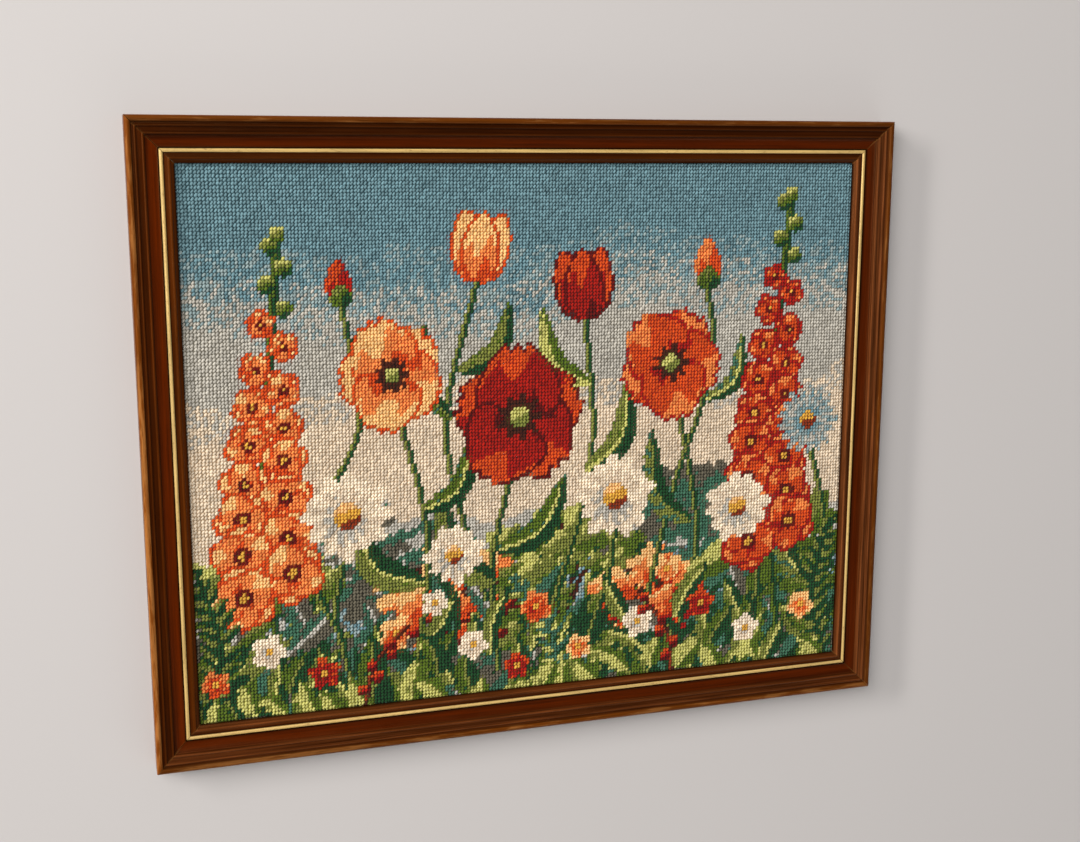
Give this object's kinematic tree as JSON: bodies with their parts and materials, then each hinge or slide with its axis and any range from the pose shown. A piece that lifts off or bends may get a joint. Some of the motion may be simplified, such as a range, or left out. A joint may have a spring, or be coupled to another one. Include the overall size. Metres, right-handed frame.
{
  "type": "framed needlepoint picture in a wooden moulding frame",
  "caption": "Rectangular wool needlepoint panel, stretched flat on a board in a mitred wooden moulding frame with a gilt line, lying on its back.",
  "frame": {"origin": "middle of the frame on its back plane", "axes": "+Z out of the picture's face, +X to the picture's right, +Y to its top"},
  "size_m": [0.5, 0.4014, 0.018],
  "materials": {
    "moulding": "stained and polished wood, worn paler on the outer bead",
    "gilding": "aged gilt paint on a wooden bead",
    "stitched_wool": "wool tent stitch on cotton canvas, flowers on a blended blue and beige ground",
    "board": "plain brown hardboard"
  },
  "bodies": {
    "root": {"rail_top": "moulding", "rail_bottom": "moulding", "rail_left": "moulding", "rail_right": "moulding", "gilt_top": "gilding", "gilt_bottom": "gilding", "gilt_left": "gilding", "gilt_right": "gilding", "needlepoint": "stitched_wool", "back_board": "board"}
  },
  "joints": []
}
